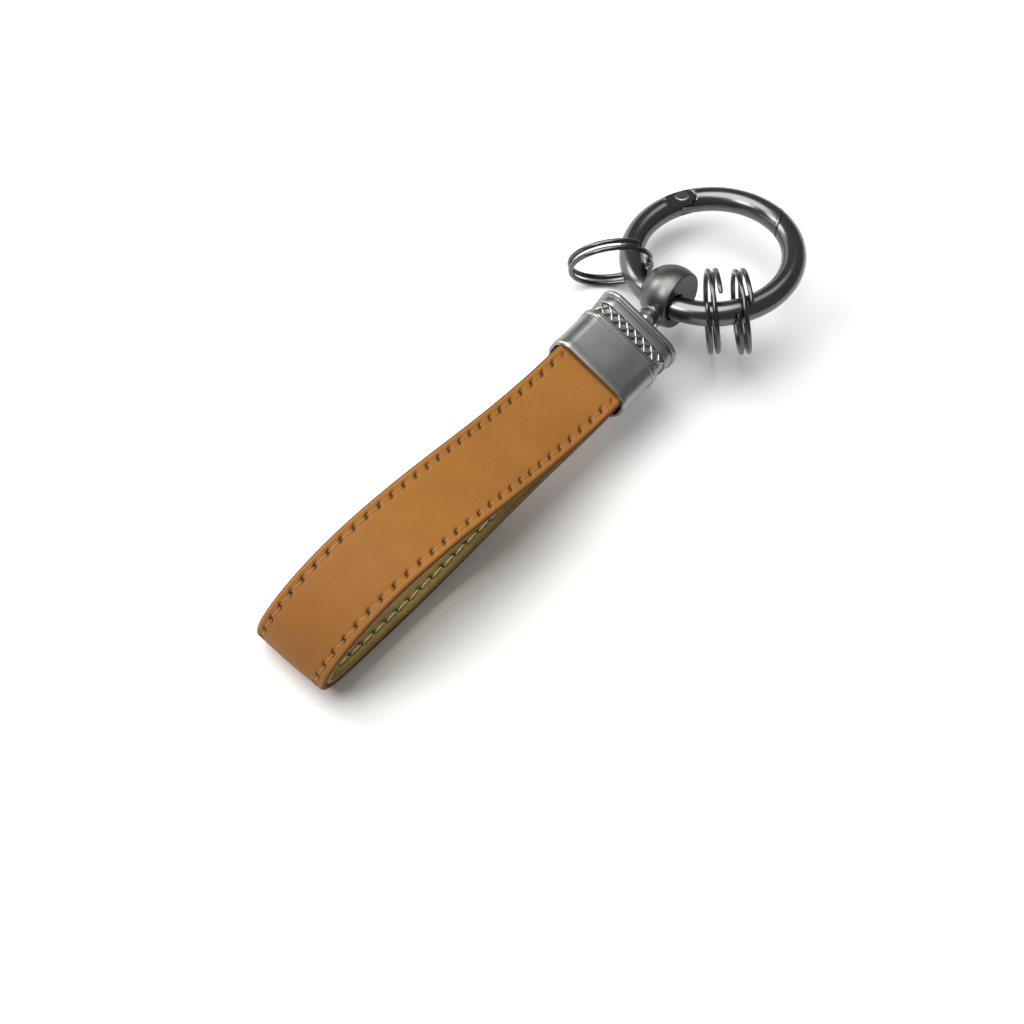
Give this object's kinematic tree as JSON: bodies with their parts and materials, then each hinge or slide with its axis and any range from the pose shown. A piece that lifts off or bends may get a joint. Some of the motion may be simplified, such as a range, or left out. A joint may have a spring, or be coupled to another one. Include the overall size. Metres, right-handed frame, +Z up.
{
  "type": "leather keychain",
  "caption": "Folded stitched leather strap in a metal clamp with a swivel ball, a round spring-gate ring and split rings for keys.",
  "frame": {"origin": "middle of the whole piece in plan, on the surface that it lies on", "axes": "+X from the strap's fold to the ring along the swivel axis, +Z up"},
  "size_m": [0.1394, 0.0384, 0.024],
  "materials": {
    "leather_tan": "tan nubuck leather with rounded, darker edges",
    "lining_khaki": "smooth khaki lining leather",
    "thread_tan": "tan sewing thread",
    "thread_cream": "cream sewing thread",
    "clamp_gunmetal": "satin gunmetal plate",
    "bush_bright": "polished bright plate",
    "swivel_gunmetal": "satin dark gunmetal plate",
    "inner_steel": "plain steel",
    "ring_black_nickel": "glossy black nickel plate",
    "rivet_steel": "dark steel",
    "split_black_nickel": "glossy black nickel plated spring steel"
  },
  "bodies": {
    "strap": {"strap_leather": "leather_tan", "strap_lining": "lining_khaki", "thread_outer_left": "thread_tan", "thread_outer_right": "thread_tan", "thread_inner_left": "thread_cream", "thread_inner_right": "thread_cream", "clamp_shell": "clamp_gunmetal", "swivel_bush": "bush_bright"},
    "swivel": {"swivel_head": "swivel_gunmetal", "swivel_washer": "inner_steel"},
    "ring": {"ring_body": "ring_black_nickel", "gate_rivet": "rivet_steel", "gate_plunger": "inner_steel", "gate_spring": "inner_steel"},
    "gate": {"ring_gate": "ring_black_nickel"},
    "split_a": {"split_ring_a": "split_black_nickel"},
    "split_b": {"split_ring_b": "split_black_nickel"},
    "split_c": {"split_ring_c": "split_black_nickel"}
  },
  "joints": [
    {"name": "swivel_turn", "type": "hinge", "parent": "strap", "child": "swivel", "pos_m": [0.0377, -0.00078, 0.01208], "axis": [1, 0, 0], "continuous": true},
    {"name": "ring_turn", "type": "hinge", "parent": "swivel", "child": "ring", "pos_m": [0.0516, -0.00078, 0.01208], "axis": [0, 0.3437, 0.9391], "range_deg": [-8, 6.5]},
    {"name": "gate_open", "type": "hinge", "parent": "ring", "child": "gate", "pos_m": [0.05992, 0.01172, 0.00751], "axis": [0, -0.3437, -0.9391], "range_deg": [0, 30], "stiffness_Nm_per_rad": 0.03, "springref_deg": -28.65},
    {"name": "split_a_swing", "type": "hinge", "parent": "ring", "child": "split_a", "pos_m": [0.04069, 0.00982, 0.0082], "axis": [0.7193, 0.6523, -0.2387], "range_deg": [-75, 10]},
    {"name": "split_b_swing", "type": "hinge", "parent": "ring", "child": "split_b", "pos_m": [0.03906, -0.00966, 0.01533], "axis": [-0.6018, 0.75, -0.2745], "range_deg": [-12, 45]},
    {"name": "split_c_swing", "type": "hinge", "parent": "ring", "child": "split_c", "pos_m": [0.04333, -0.01331, 0.01667], "axis": [-0.8499, 0.4949, -0.1811], "range_deg": [-12, 60]}
  ]
}
